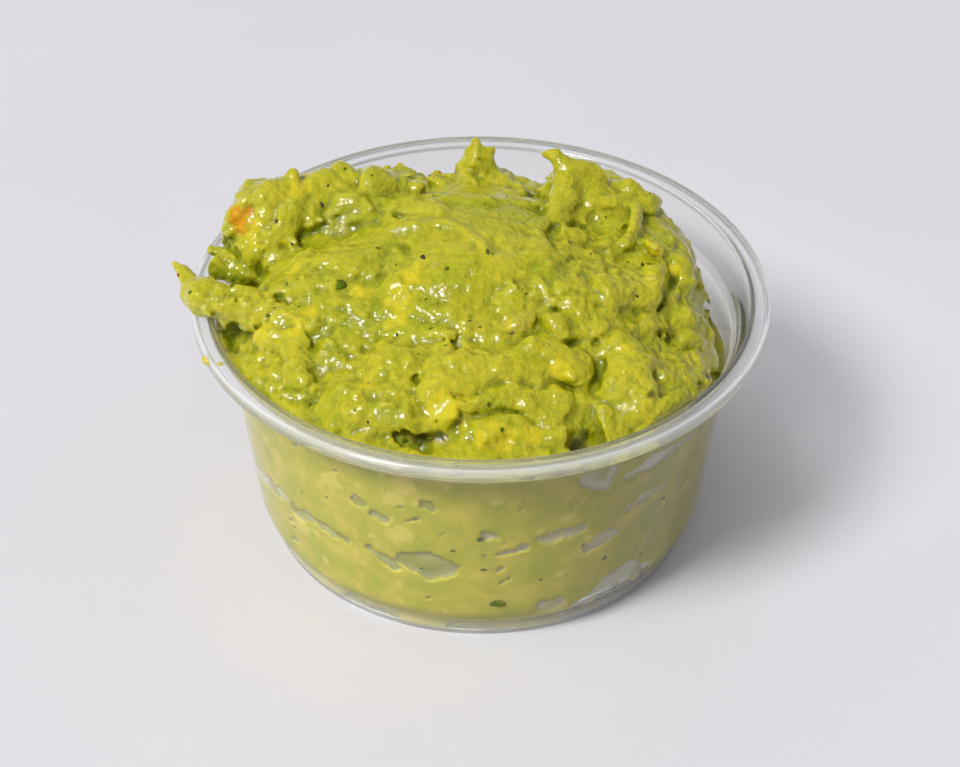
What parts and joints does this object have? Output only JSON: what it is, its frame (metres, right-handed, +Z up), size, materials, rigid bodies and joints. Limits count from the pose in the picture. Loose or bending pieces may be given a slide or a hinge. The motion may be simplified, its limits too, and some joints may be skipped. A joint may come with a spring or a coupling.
{
  "type": "cup of guacamole",
  "caption": "Chunky guacamole heaped above the rim of a small clear round portion cup, with folded dollops, pulled peaks and a string that leans over the rim.",
  "frame": {"origin": "centre of the cup's flat base, on the surface that the cup stands on", "axes": "+Z up along the cup's axis; +X to the right and -Y to the front of the heap, the side where it is pressed up to the rim"},
  "size_m": [0.0763, 0.074, 0.0482],
  "materials": {
    "clear-plastic": "thin clear thermoformed plastic, glossy, with faint moulding waves",
    "guacamole": "moist mashed avocado, soft and translucent, with small wet highlights, chunks and darker green creases"
  },
  "bodies": {
    "root": {"cup": "clear-plastic", "guacamole": "guacamole"}
  },
  "joints": []
}
